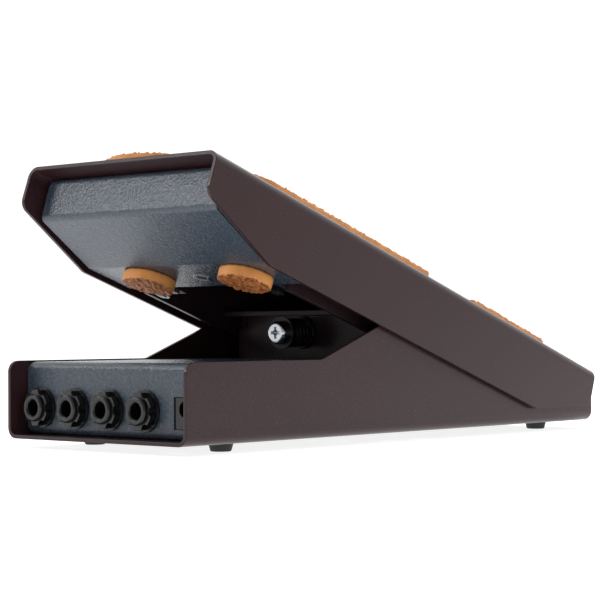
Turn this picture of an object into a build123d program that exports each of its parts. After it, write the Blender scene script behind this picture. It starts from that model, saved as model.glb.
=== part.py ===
"""Rocker volume pedal: folded steel housing, rocking treadle, jacks, friction adjuster.

Frame: +Z up from the floor the feet stand on, toe end towards -Y, heel towards +Y, X across.
The origin is below the middle of the housing. Everything is in millimetres, and the treadle
is drawn at rest, with its heel down.
"""

from build123d import *
from math import asin, atan, cos, degrees, hypot, radians, sin, sqrt, tan
import os

os.makedirs("parts", exist_ok=True)

# ---- driving dimensions ----------------------------------------------------------------------
housing_length = 265.0
housing_width = 102.0
sheet = 1.5                 # steel of housing, treadle, pans and cover
bend = 4.5                  # outside radius of the long folds
foot_height = 3.5
front_height = 31.0         # side plate above the housing's underside, at the toe
apex_height = 50.0          # side plate beside the pivot
rear_height = 14.0          # side plate at the heel
front_flat = 74.8           # length of the level top edge at the toe
front_slope = 20.4          # degrees, from the level edge up to the apex
rear_flat = 12.0
rear_slope_start = 9.0      # behind the pivot, where the edge starts to fall
corner = 4.5                # corners of the side plates in side view

pivot_height = 43.7         # axle centre above the housing's underside
pivot_toeward = 0.7         # axle centre in front of the middle
treadle_rise = 24.0         # top face of the treadle above the axle, square to it
flange_end = 17.0           # depth of the treadle's side flange at its two ends
flange_depth = 31.0         # depth of the side flange in the middle
flange_run = 40.0           # length of the slanted stretch at each end
flange_corner = 5.0
heel_lift = 7.1             # treadle's heel edge above the housing's underside, at rest
side_gap = 1.4              # between a housing side plate and the treadle flange

fold = 3.0                  # outside radius of the folds of pans and cover
clearance = 0.3             # between pieces that pass each other
hole_clearance = 0.1        # radial, round fasteners that don't turn in use

cover_height = 30.5         # top of the connector cover above the housing's underside
cover_setback = 8.6         # front panel behind the housing's toe edge
cover_length = 109.4
cover_side_gap = 0.5
cover_foot = 11.4           # folded feet of the cover, on the floor
cover_top_corner = 3.0
cover_bottom_corner = 4.0

pan_setback = 8.6           # front face of a pan behind the treadle's end
pan_front_depth = 19.7      # pan's first fold below the treadle's top
pan_plate_depth = 29.5      # pan's level plate below the treadle's top
pan_slope_end = 40.0        # pan's second fold behind the treadle's end
pan_end = 64.0              # end of the level plate behind the treadle's end
pan_lip = 19.0              # pan's lip under the treadle's top
pan_corner = 5.0
pan_lean = 0.3              # front face out of square over its depth
pan_side_gap = 2.4          # toe pan to treadle flange
heel_pan_side_gap = 2.0     # heel pan to housing side plate
ear_length = 8.0            # two ears on the pan carry its screws
ear_width = 10.0
ear_inset = 6.1             # ear's middle inside the outer face of the carrier's cheeks

pad_half_width = 45.5
pad_tip_gap = 4.0           # sole pad's rounded tip behind the toe edge
sole_pad_thickness = 4.8
sole_pad_end = 143.0        # straight cut across, behind the toe edge
heel_pad_thickness = 4.4
heel_pad_tip_gap = 15.0     # heel pad's rounded end ahead of the heel edge
heel_pad_straight = 52.0
heel_pad_round = 22.0       # length of the half ellipse at the heel

stop_radius = 11.0
toe_stop_thickness = 5.0
stop_place = 27.5           # stops from the line midway between them
toe_stop_shift = 3.4        # toe stops and magnet to the right of the middle line
toe_stop_setback = 51.0     # behind the toe edge
heel_stop_setback = 24.5    # ahead of the heel edge
heel_stop_gap = 0.4         # left under the heel stops at rest

axle_radius = 4.0
axle_flat = 3.4             # from the axle's centre to the flats at its ends
bush_wall = 1.0
bush_flange_radius = 7.0
bush_flange = 0.5
running_clearance = 0.05    # axle in bush, screw in insert
fit_clearance = 0.02        # axle in rail
axle_clip_thickness = 1.2
axle_clip_radius = 6.0
axle_groove_depth = 0.6
axle_end = 1.0              # of the axle past its clips

carrier_half_width = 38.6
carrier_sheet = 2.0
carrier_top = 51.0          # above the housing's underside
carrier_overhang = 10.8     # top plate in front of the web
web_ahead = 11.4            # web's front face ahead of the axle
cheek_behind = 18.7         # cheeks and top plate behind the axle
carrier_foot = 7.6          # width of the feet folded outwards
carrier_screw_pitch = 20.0
relief_width = 3.0          # notches in the web's upper corners, beside the cheeks
relief_height = 5.5

rail_sheet = 2.0
rail_end_gap = 1.0          # left between a rail's end and a pan
rail_depth = 31.5           # below the treadle's top
rail_flange = 12.0          # folded inwards under the treadle's top
rail_tab_length = 12.0
rail_screw_toe = 17.5       # end screws from the ends of the rail
rail_screw_heel = 12.5

adjuster_height = 41.6      # above the housing's underside
screw_radius = 2.5
screw_head_radius = 5.0
screw_head_height = 3.5
screw_head_round = 1.5
screw_recess = 2.2
screw_slot = 1.3
screw_recess_taper = 12.0   # degrees
screw_bite = 1.2            # how far the screw's tip stands in the shoe's pocket
washer_radius = 7.0
washer_thickness = 1.0
spring_radius = 5.6         # to the middle of the wire
spring_wire = 0.6           # wire radius
spring_length = 11.8
spring_turns = 5.0
spring_seat_thickness = 1.5
insert_radius = 3.6
insert_flange_radius = 5.0
insert_length = 3.2
shoe_width = 16.0
shoe_wrap = 2.0             # how far the saddle reaches over the axle
shoe_depth = 6.0
pocket_depth = 2.0

jack_pitch = 20.0
jack_count = 4
first_jack = -40.0
jack_height = 12.3          # above the housing's underside
jack_bore = 3.2             # for a 6.35 mm plug
jack_bore_length = 31.0
jack_leadin = 0.5
bushing_radius = 5.4
bushing_front = 5.5         # the bushing's rim ahead of the front panel
jack_body_width = 15.0
jack_body_height = 13.0
jack_body_length = 26.4
jack_washer_radius = 8.1
jack_washer_thickness = 1.0
jack_nut_radius = 7.25
jack_nut_thickness = 3.0
castle_slots = 6
castle_slot_radius = 2.0

dc_place = 41.0
dc_width = 10.4
dc_height = 11.9
dc_length = 15.0
dc_hole_radius = 3.1
dc_hole_height = 7.5        # above the board
dc_hole_depth = 9.5
dc_pin_radius = 1.05
dc_recess = 0.5             # behind the front panel's face
dc_clearance = 0.2          # all round in the panel's opening

board_gap = 2.7             # under the board, above the housing's floor
board_thickness = 1.6
board_half_width = 46.0
board_setback = 21.0        # board's front edge behind the housing's toe edge
board_length = 56.0
standoff_radius = 2.6
standoff_rows = 26.0
standoff_place = 42.0
standoff_setback = 46.5     # front row behind the toe edge

jack_pin_rows = 3
jack_pin_pitch = 5.0
jack_pin_radius = 0.5
jack_pin_drop = 1.0         # pins past the board's underside
sensor_width = 4.1
sensor_depth = 1.6
sensor_height = 3.2
sensor_leg = 16.0
sensor_leg_width = 0.5
sensor_leg_pitch = 1.27
chip_length = 9.8
chip_width = 6.4
chip_height = 3.3
chip_places = (-18.0, 14.0)
capacitor_radius = 3.15
capacitor_height = 11.0
capacitor_places = (-30.0, -20.0, 4.0, 26.0)
chip_setback = 18.0         # rows of chips and capacitors ahead of the board's rear edge
capacitor_setback = 8.0

foot_top_radius = 5.0
foot_bottom_radius = 4.0
foot_place = 36.0
front_foot = 33.0           # behind the toe edge
rear_foot = 24.0            # ahead of the heel edge

m3 = 1.5
m3_head = 2.9
m3_nut = 2.75               # half the distance across the flats
m3_nut_height = 2.4
m4 = 2.0
m4_head = 3.4
m4_nut = 3.5
m4_nut_height = 3.2
countersink_angle = 90.0
drive_width = 0.8
screw_tail = 0.4            # of a screw past its nut
floor_screw_inset = 21.0    # small floor screws from the housing's sides
board_screw_head = 1.8
pan_screw_head = 2.0

heel_plate_setback = 4.5    # wall's outer face ahead of the heel edge
heel_plate_foot = 12.0
magnet_radius = 2.8
magnet_thickness = 1.6
magnet_rim = 0.8
magnet_offset = 3.0         # magnet heelwards of the line through the toe stops
rivet_radius = 1.6
rivet_head = 2.8
rivet_place = 18.0          # from the middle line

# ---- places that follow from them ------------------------------------------------------------
half_length = housing_length / 2
half_width = housing_width / 2
underside = foot_height
floor_top = underside + sheet
pivot_y = -pivot_toeward
pivot_z = underside + pivot_height

treadle_half = half_length
treadle_inner = half_width + side_gap
treadle_outer = treadle_inner + sheet
flange_end_level = treadle_rise - flange_end
# The treadle rests with the lower end of its heel flange heel_lift above the housing's underside.
reach = hypot(treadle_half, flange_end_level)
rest_tilt = asin((pivot_height - heel_lift) / reach) + atan(flange_end_level / treadle_half)

base_side = Plane.YZ
tread = Plane(origin=(0, pivot_y, pivot_z), x_dir=(1, 0, 0), z_dir=(0, sin(rest_tilt), cos(rest_tilt)))
tread_side = Plane(origin=tread.origin, x_dir=tread.y_dir, z_dir=(1, 0, 0))
tread_front = Plane(origin=tread.origin, x_dir=(1, 0, 0), z_dir=-tread.y_dir)
wide = 2 * housing_width    # longer than any piece is across
plate_under = treadle_rise - sheet


def save(builder, name):
    builder.part.label = name
    export_step(builder.part, f"parts/{name}.step")


def countersunk(head, shank, length):
    """Countersunk screw with its head's face at the origin and its tip towards +Z."""
    taper = head - shank
    up = (Align.CENTER, Align.CENTER, Align.MIN)
    Cone(bottom_radius=head, top_radius=shank, height=taper, align=up)
    Cylinder(shank, length, align=up)
    Box(2 * shank, drive_width, taper, align=up, mode=Mode.SUBTRACT)
    Box(drive_width, 2 * shank, taper, align=up, mode=Mode.SUBTRACT)


def corner_places(x, near, far):
    return [(-x, near), (x, near), (-x, far), (x, far)]


# ---- housing ---------------------------------------------------------------------------------
cover_screws_at = corner_places(
    half_width - floor_screw_inset,
    -half_length + cover_setback + sheet + cover_foot / 2,
    -half_length + cover_setback + cover_length - sheet - cover_foot / 2,
)
carrier_foot_x = carrier_half_width + carrier_foot / 2
carrier_screw_y = pivot_y + (cheek_behind - web_ahead) / 2
carrier_screws_at = corner_places(
    carrier_foot_x, carrier_screw_y - carrier_screw_pitch / 2, carrier_screw_y + carrier_screw_pitch / 2
)
heel_plate_y = half_length - heel_plate_setback
heel_screw_y = heel_plate_y - sheet - (heel_plate_foot - sheet) / 2
heel_screws_at = [(side * (half_width - floor_screw_inset), heel_screw_y) for side in (-1, 1)]
floor_m3_at = cover_screws_at + heel_screws_at

slope_rise = apex_height - front_height
slope_end = -half_length + front_flat + slope_rise / tan(radians(front_slope))
with BuildPart() as housing_shell:
    with BuildSketch(Plane.XZ):
        with BuildLine():
            side = half_width - sheet / 2
            low = underside + sheet / 2
            tall = underside + apex_height + bend
            FilletPolyline((-side, tall), (-side, low), (side, low), (side, tall), radius=bend - sheet / 2)
        trace(line_width=sheet)
    extrude(amount=half_length, both=True)
    with BuildSketch(base_side) as housing_outline:
        with BuildLine():
            Polyline(
                (-half_length, underside),
                (-half_length, underside + front_height),
                (-half_length + front_flat, underside + front_height),
                (slope_end, underside + apex_height),
                (pivot_y + rear_slope_start, underside + apex_height),
                (half_length - rear_flat, underside + rear_height),
                (half_length, underside + rear_height),
                (half_length, underside),
                close=True,
            )
        make_face()
        upper = [v for v in housing_outline.vertices() if v.Y > underside + sheet]
        fillet(upper, radius=corner)
    extrude(amount=wide / 2, both=True, mode=Mode.INTERSECT)
    with Locations(*[Pos(x, y, underside) for x, y in floor_m3_at]):
        Cone(m3_head, m3, m3_head - m3, align=(Align.CENTER, Align.CENTER, Align.MIN), mode=Mode.SUBTRACT)
        Cylinder(m3 + hole_clearance, 3 * sheet, mode=Mode.SUBTRACT)
    with Locations(*[Pos(x, y, underside) for x, y in carrier_screws_at]):
        Cone(m4_head, m4, m4_head - m4, align=(Align.CENTER, Align.CENTER, Align.MIN), mode=Mode.SUBTRACT)
        Cylinder(m4 + hole_clearance, 3 * sheet, mode=Mode.SUBTRACT)
save(housing_shell, "housing_shell")

# ---- feet ------------------------------------------------------------------------------------
foot_rows = corner_places(foot_place, -half_length + front_foot, half_length - rear_foot)
with BuildPart() as feet:
    with Locations(*[Pos(x, y, 0) for x, y in foot_rows]):
        Cone(foot_bottom_radius, foot_top_radius, foot_height, align=(Align.CENTER, Align.CENTER, Align.MIN))
    fillet(feet.faces().filter_by(Axis.Z).group_by(Axis.Z)[0].edges(), radius=0.6)
save(feet, "feet")

# ---- connector cover -------------------------------------------------------------------------
cover_half = half_width - sheet - cover_side_gap
cover_front = -half_length + cover_setback
cover_back = cover_front + cover_length
cover_top = underside + cover_height
jack_z = underside + jack_height
jack_xs = [first_jack + jack_pitch * n for n in range(jack_count)]
board_top = floor_top + board_gap + board_thickness
dc_z = board_top + dc_height / 2


def end_outline(top):
    """Outline across the housing, from its floor up to top; the lower corners clear its folds."""
    height = top - floor_top
    with BuildSketch(Plane.XZ) as outline:
        with Locations((0, floor_top + height / 2)):
            RectangleRounded(2 * cover_half, height, cover_top_corner)
        with Locations((0, floor_top + height)):
            RectangleRounded(2 * cover_half, 2 * height, cover_bottom_corner, mode=Mode.INTERSECT)
    return outline.sketch


with BuildPart() as connector_cover:
    with BuildSketch(base_side):
        with BuildLine():
            front = cover_front + sheet / 2
            back = cover_back - sheet / 2
            low = floor_top + sheet / 2
            high = cover_top - sheet / 2
            foot = cover_foot + sheet / 2
            FilletPolyline(
                (front + foot, low), (front, low), (front, high),
                (back, high), (back, low), (back - foot, low),
                radius=fold - sheet / 2,
            )
        trace(line_width=sheet)
    extrude(amount=wide / 2, both=True)
    extrude(end_outline(cover_top), amount=housing_length, both=True, mode=Mode.INTERSECT)
    with BuildSketch(Plane.XZ.offset(-cover_front - sheet / 2)):
        with Locations(*[(x, jack_z) for x in jack_xs]):
            Circle(bushing_radius + hole_clearance)
        with Locations((dc_place, dc_z)):
            Rectangle(dc_width + 2 * dc_clearance, dc_height + 2 * dc_clearance)
    extrude(amount=sheet, both=True, mode=Mode.SUBTRACT)
    with Locations(*[Pos(x, y, floor_top) for x, y in cover_screws_at]):
        Cylinder(m3 + hole_clearance, 3 * sheet, mode=Mode.SUBTRACT)
save(connector_cover, "connector_cover")

# ---- screws and nuts through the floor -------------------------------------------------------
m3_length = 2 * sheet + m3_nut_height + screw_tail


def floor_screws(name, places, head, shank, length):
    with BuildPart() as screws:
        with Locations(*[Pos(x, y, underside) for x, y in places]):
            countersunk(head, shank, length)
    save(screws, name)


def hex_nuts(name, places, across_half, shank, height):
    """Nuts lie on the plane of each place and stand along its +Z."""
    with BuildPart() as nuts:
        with BuildSketch(*[Plane(place) for place in places]):
            RegularPolygon(across_half, 6, major_radius=False, rotation=30)
            Circle(shank, mode=Mode.SUBTRACT)
        extrude(amount=height)
    save(nuts, name)


floor_screws("cover_screws", cover_screws_at, m3_head, m3, m3_length)
floor_screws("heel_plate_screws", heel_screws_at, m3_head, m3, m3_length)
m4_floor_length = sheet + carrier_sheet + m4_nut_height + screw_tail
floor_screws("carrier_screws", carrier_screws_at, m4_head, m4, m4_floor_length)

flat_nuts = [Pos(x, y, floor_top + sheet) for x, y in cover_screws_at]
hex_nuts("cover_nuts", flat_nuts, m3_nut, m3, m3_nut_height)
flat_nuts = [Pos(x, y, floor_top + sheet) for x, y in heel_screws_at]
hex_nuts("heel_plate_nuts", flat_nuts, m3_nut, m3, m3_nut_height)
flat_nuts = [Pos(x, y, floor_top + carrier_sheet) for x, y in carrier_screws_at]
hex_nuts("carrier_nuts", flat_nuts, m4_nut, m4, m4_nut_height)

# ---- heel plate ------------------------------------------------------------------------------
with BuildPart() as heel_plate:
    with BuildSketch(base_side):
        with BuildLine():
            wall = heel_plate_y - sheet / 2
            low = floor_top + sheet / 2
            FilletPolyline(
                (heel_plate_y - heel_plate_foot, low), (wall, low), (wall, underside + rear_height),
                radius=fold - sheet / 2,
            )
        trace(line_width=sheet)
    extrude(amount=wide / 2, both=True)
    extrude(end_outline(underside + rear_height), amount=housing_length, both=True, mode=Mode.INTERSECT)
    with Locations(*[Pos(x, y, floor_top) for x, y in heel_screws_at]):
        Cylinder(m3 + hole_clearance, 3 * sheet, mode=Mode.SUBTRACT)
save(heel_plate, "heel_plate")

# ---- axle carrier ----------------------------------------------------------------------------
carrier_back = pivot_y + cheek_behind
web_front = pivot_y - web_ahead
carrier_front = web_front - carrier_overhang
adjuster_z = underside + adjuster_height
plate_top = underside + carrier_top
plate_low = plate_top - carrier_sheet
bush_outer = axle_radius + running_clearance + bush_wall
with BuildPart() as axle_carrier:
    with BuildSketch(Plane.XZ.offset(-web_front)):
        with BuildLine():
            x = carrier_half_width - carrier_sheet / 2
            z = plate_top - carrier_sheet / 2
            FilletPolyline((-x, floor_top), (-x, z), (x, z), (x, floor_top), radius=fold - carrier_sheet / 2)
        trace(line_width=carrier_sheet)
    extrude(amount=-(carrier_back - web_front))
    with Locations(Pos(0, carrier_front, plate_low)):
        Box(
            2 * carrier_half_width, carrier_overhang, carrier_sheet,
            align=(Align.CENTER, Align.MIN, Align.MIN),
        )
    with Locations(Pos(0, web_front, floor_top)):
        Box(
            2 * carrier_half_width, carrier_sheet, plate_low - floor_top,
            align=(Align.CENTER, Align.MIN, Align.MIN),
        )
    relief_corners = [Pos(side * carrier_half_width, web_front, plate_low) for side in (-1, 1)]
    with Locations(*relief_corners):
        Box(
            2 * (carrier_sheet + relief_width), carrier_sheet, relief_height,
            align=(Align.CENTER, Align.MIN, Align.MAX), mode=Mode.SUBTRACT,
        )
    foot_x = carrier_half_width + carrier_foot
    with Locations(Pos(0, web_front, floor_top)):
        Box(
            2 * foot_x, carrier_back - web_front, carrier_sheet, align=(Align.CENTER, Align.MIN, Align.MIN),
        )
    with Locations(Pos(0, web_front + carrier_sheet, floor_top)):
        Box(
            2 * (carrier_half_width - carrier_sheet), carrier_back, carrier_sheet,
            align=(Align.CENTER, Align.MIN, Align.MIN), mode=Mode.SUBTRACT,
        )
    with BuildSketch(base_side):
        with Locations((pivot_y, pivot_z)):
            Circle(bush_outer)
    extrude(amount=wide / 2, both=True, mode=Mode.SUBTRACT)
    with BuildSketch(Plane.XZ.offset(-web_front - carrier_sheet / 2)):
        with Locations((0, adjuster_z)):
            Circle(insert_radius)
    extrude(amount=carrier_sheet, both=True, mode=Mode.SUBTRACT)
    with Locations(*[Pos(x, y, floor_top) for x, y in carrier_screws_at]):
        Cylinder(m4 + hole_clearance, 3 * carrier_sheet, mode=Mode.SUBTRACT)
save(axle_carrier, "axle_carrier")

with BuildPart() as axle_bushes:
    for direction in (-1, 1):
        outside = Plane(origin=(direction * carrier_half_width, pivot_y, pivot_z), z_dir=(direction, 0, 0))
        with BuildSketch(outside):
            Circle(bush_outer)
            Circle(axle_radius + running_clearance, mode=Mode.SUBTRACT)
        extrude(amount=-carrier_sheet)
        with BuildSketch(outside):
            Circle(bush_flange_radius)
            Circle(axle_radius + running_clearance, mode=Mode.SUBTRACT)
        extrude(amount=bush_flange)
save(axle_bushes, "axle_bushes")

# ---- friction adjuster -----------------------------------------------------------------------
# The shoe is a saddle on the axle; the screw runs in the insert and bears in the shoe's pocket.
spring_back = web_front - spring_seat_thickness
spring_front = spring_back - spring_length
washer_front = spring_front - running_clearance - washer_thickness
shoe_front = max(
    pivot_y - axle_radius - shoe_depth + shoe_wrap, web_front + insert_length + 2 * clearance
)
shoe_back = pivot_y - axle_radius + shoe_wrap
screw_tip = shoe_front + screw_bite
shoe_top = plate_low - clearance
shoe_height = 2 * (shoe_top - adjuster_z) - shoe_wrap
with BuildPart() as brake_shoe:
    with Locations(Pos(0, shoe_front, shoe_top)):
        Box(shoe_width, shoe_back - shoe_front, shoe_height, align=(Align.CENTER, Align.MIN, Align.MAX))
    fillet(brake_shoe.edges().filter_by(Axis.Y), radius=1.5)
    with BuildSketch(base_side):
        with Locations((pivot_y, pivot_z)):
            Circle(axle_radius + running_clearance)
    extrude(amount=shoe_width, both=True, mode=Mode.SUBTRACT)
    with BuildSketch(Plane.XZ.offset(-shoe_front)):
        with Locations((0, adjuster_z)):
            Circle(screw_radius + hole_clearance)
    extrude(amount=-pocket_depth, mode=Mode.SUBTRACT)
save(brake_shoe, "brake_shoe")


def adjuster_ring(front_y, outer, inner):
    """Ring-shaped face on the adjuster's axis; extruded by a negative amount it grows heelwards."""
    with BuildSketch(Plane.XZ.offset(-front_y)) as ring:
        with Locations((0, adjuster_z)):
            Circle(outer)
            Circle(inner, mode=Mode.SUBTRACT)
    return ring.sketch


with BuildPart() as thread_insert:
    insert_bore = screw_radius + running_clearance
    insert_tail = insert_length - carrier_sheet
    extrude(adjuster_ring(web_front, insert_radius, insert_bore), amount=-carrier_sheet)
    extrude(adjuster_ring(web_front + carrier_sheet, insert_flange_radius, insert_bore), amount=-insert_tail)
save(thread_insert, "thread_insert")

with BuildPart() as spring_seat:
    seat_ring = adjuster_ring(spring_back, washer_radius, screw_radius + clearance)
    extrude(seat_ring, amount=-spring_seat_thickness)
    fillet(spring_seat.edges().group_by(Axis.Y)[0].sort_by(SortBy.RADIUS)[-1], radius=0.5)
save(spring_seat, "spring_seat")

with BuildPart() as spring_washer:
    extrude(adjuster_ring(washer_front, washer_radius, insert_bore), amount=-washer_thickness)
save(spring_washer, "spring_washer")

with BuildPart() as friction_spring:
    with BuildLine() as coil:
        Helix(
            pitch=(spring_length - 2 * spring_wire) / spring_turns,
            height=spring_length - 2 * spring_wire,
            radius=spring_radius,
            center=(0, spring_front + spring_wire, adjuster_z),
            direction=(0, 1, 0),
        )
    with BuildSketch(coil.line ^ 0):
        Circle(spring_wire)
    sweep(is_frenet=True)
    ends = Plane.XZ.offset(-spring_front)
    split(bisect_by=ends, keep=Keep.BOTTOM)
save(friction_spring, "friction_spring")

head_front = washer_front - running_clearance - screw_head_height
with BuildPart() as friction_screw:
    with BuildSketch(Plane.XZ.offset(-head_front)):
        with Locations((0, adjuster_z)):
            Circle(screw_head_radius)
    extrude(amount=-screw_head_height)
    fillet(friction_screw.edges().group_by(Axis.Y)[0], radius=screw_head_round)
    with BuildSketch(Plane.XZ.offset(-head_front - screw_head_height)):
        with Locations((0, adjuster_z)):
            Circle(screw_radius)
    extrude(amount=-(screw_tip - head_front - screw_head_height))
    chamfer(friction_screw.edges().group_by(Axis.Y)[-1], length=0.5)
    with BuildSketch(Plane.XZ.offset(-head_front)):
        with Locations((0, adjuster_z)):
            Rectangle(2 * screw_radius, screw_slot)
            Rectangle(screw_slot, 2 * screw_radius)
            Circle(screw_slot)
    extrude(amount=-screw_recess, taper=screw_recess_taper, mode=Mode.SUBTRACT)
save(friction_screw, "friction_screw")

# ---- jacks -----------------------------------------------------------------------------------
panel_back = cover_front + sheet
jack_mouth = cover_front - bushing_front
jack_body_front = panel_back + clearance
for number, jack_x in enumerate(jack_xs, 1):
    with BuildPart() as jack:
        with BuildSketch(Plane.XZ.offset(-jack_body_front)) as jack_block:
            with Locations((jack_x, board_top + jack_body_height / 2)):
                RectangleRounded(jack_body_width, jack_body_height, 1.2)
        extrude(amount=-jack_body_length)
        with BuildSketch(Plane.XZ.offset(-jack_mouth)):
            with Locations((jack_x, jack_z)):
                Circle(bushing_radius)
        extrude(amount=-(jack_body_front - jack_mouth))
        with BuildSketch(Plane.XZ.offset(-jack_mouth)):
            with Locations((jack_x, jack_z)):
                Circle(jack_bore)
        extrude(amount=-jack_bore_length, mode=Mode.SUBTRACT)
        mouth = jack.edges().filter_by(GeomType.CIRCLE).group_by(Axis.Y)[0]
        chamfer(mouth, length=jack_leadin)
    save(jack, f"jack_{number}")

with BuildPart() as jack_washers:
    with BuildSketch(Plane.XZ.offset(-cover_front)):
        with Locations(*[(x, jack_z) for x in jack_xs]):
            Circle(jack_washer_radius)
            Circle(bushing_radius + hole_clearance, mode=Mode.SUBTRACT)
    extrude(amount=jack_washer_thickness)
save(jack_washers, "jack_washers")

with BuildPart() as jack_nuts:
    with BuildSketch(Plane.XZ.offset(-cover_front + jack_washer_thickness)):
        for jack_x in jack_xs:
            with Locations((jack_x, jack_z)):
                Circle(jack_nut_radius)
                Circle(bushing_radius, mode=Mode.SUBTRACT)
            with Locations((jack_x, jack_z)):
                with PolarLocations(jack_nut_radius + castle_slot_radius / 3, castle_slots):
                    Circle(castle_slot_radius, mode=Mode.SUBTRACT)
    extrude(amount=jack_nut_thickness)
save(jack_nuts, "jack_nuts")

# ---- power socket ----------------------------------------------------------------------------
dc_front = cover_front + dc_recess
dc_hole_z = board_top + dc_hole_height
with BuildPart() as dc_socket:
    with BuildSketch(Plane.XZ.offset(-dc_front)) as dc_face:
        with Locations((dc_place, dc_z)):
            Rectangle(dc_width, dc_height)
        fillet(dc_face.vertices(), radius=0.6)
    extrude(amount=-dc_length)
    with BuildSketch(Plane.XZ.offset(-dc_front)):
        with Locations((dc_place, dc_hole_z)):
            Circle(dc_hole_radius)
    extrude(amount=-dc_hole_depth, mode=Mode.SUBTRACT)
save(dc_socket, "dc_socket")

with BuildPart() as dc_pin:
    pin_length = dc_hole_depth - 1.0
    with BuildSketch(Plane.XZ.offset(-dc_front - dc_hole_depth)):
        with Locations((dc_place, dc_hole_z)):
            Circle(dc_pin_radius)
    extrude(amount=pin_length)
    fillet(dc_pin.edges().group_by(Axis.Y)[0], radius=0.5)
save(dc_pin, "dc_pin")

# ---- circuit board ---------------------------------------------------------------------------
board_front = -half_length + board_setback
board_low = board_top - board_thickness
standoffs_y = -half_length + standoff_setback
standoffs_at = corner_places(standoff_place, standoffs_y, standoffs_y + standoff_rows)
pin_y = board_front + jack_pin_pitch / 2 + 1.0
pins_at = [Pos(x, pin_y + jack_pin_pitch * n, board_top) for x in jack_xs for n in range(jack_pin_rows)]
with BuildPart() as circuit_board:
    with Locations(Pos(0, board_front, board_low)):
        Box(2 * board_half_width, board_length, board_thickness, align=(Align.CENTER, Align.MIN, Align.MIN))
    fillet(circuit_board.edges().filter_by(Axis.Z), radius=1.5)
    with Locations(*pins_at):
        Cylinder(jack_pin_radius + hole_clearance, 3 * board_thickness, mode=Mode.SUBTRACT)
    with Locations(*[Pos(x, y, board_top) for x, y in standoffs_at]):
        Cylinder(m3 + hole_clearance, 3 * board_thickness, mode=Mode.SUBTRACT)
save(circuit_board, "circuit_board")

with BuildPart() as jack_pins:
    with Locations(*pins_at):
        Cylinder(
            jack_pin_radius, board_thickness + jack_pin_drop, align=(Align.CENTER, Align.CENTER, Align.MAX)
        )
save(jack_pins, "jack_pins")

with BuildPart() as board_standoffs:
    with BuildSketch(Plane.XY.offset(floor_top)):
        with Locations(*standoffs_at):
            RegularPolygon(standoff_radius, 6)
            Circle(m3, mode=Mode.SUBTRACT)
    extrude(amount=board_gap)
save(board_standoffs, "board_standoffs")

with BuildPart() as board_screws:
    with BuildSketch(Plane.XY.offset(board_top)):
        with Locations(*standoffs_at):
            Circle(m3_head)
    extrude(amount=board_screw_head)
    fillet(board_screws.edges().group_by(Axis.Z)[-1], radius=board_screw_head / 2)
    with BuildSketch(Plane.XY.offset(board_top)):
        with Locations(*standoffs_at):
            Circle(m3)
    extrude(amount=-(board_thickness + board_gap - screw_tail))
save(board_screws, "board_screws")

magnet_along = -treadle_half + toe_stop_setback + magnet_offset
sensor_y = pivot_y + magnet_along
with BuildPart() as hall_sensor:
    with Locations(Pos(toe_stop_shift, sensor_y, board_top + sensor_leg)):
        Box(sensor_width, sensor_depth, sensor_height, align=(Align.CENTER, Align.CENTER, Align.MIN))
    with Locations(*[Pos(toe_stop_shift + sensor_leg_pitch * n, sensor_y, board_top) for n in (-1, 0, 1)]):
        Box(sensor_leg_width, sensor_leg_width, sensor_leg, align=(Align.CENTER, Align.CENTER, Align.MIN))
save(hall_sensor, "hall_sensor")

board_rear = board_front + board_length
with BuildPart() as signal_chips:
    with Locations(*[Pos(x, board_rear - chip_setback, board_top) for x in chip_places]):
        Box(chip_length, chip_width, chip_height, align=(Align.CENTER, Align.CENTER, Align.MIN))
    chamfer(signal_chips.edges().group_by(Axis.Z)[-1], length=0.4)
save(signal_chips, "signal_chips")

with BuildPart() as capacitors:
    with Locations(*[Pos(x, board_rear - capacitor_setback, board_top) for x in capacitor_places]):
        Cylinder(capacitor_radius, capacitor_height, align=(Align.CENTER, Align.CENTER, Align.MIN))
    fillet(capacitors.edges().group_by(Axis.Z)[-1], radius=0.6)
save(capacitors, "capacitors")

# ---- treadle ---------------------------------------------------------------------------------
rail_outer = carrier_half_width + bush_flange + clearance + rail_sheet
rail_x = rail_outer - rail_sheet
rail_screw_x = rail_outer - rail_sheet - rail_flange / 2 + rail_sheet / 2
rail_half_length = treadle_half - pan_end - rail_end_gap
rail_screws_at = [(side * rail_screw_x, y) for side in (-1, 1)
                  for y in (rail_screw_toe - rail_half_length, 0, rail_half_length - rail_screw_heel)]
rivet_along = treadle_half - pan_setback - pan_lip / 2 - sheet
rivets_at = corner_places(rivet_place, -rivet_along, rivet_along)

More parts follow.
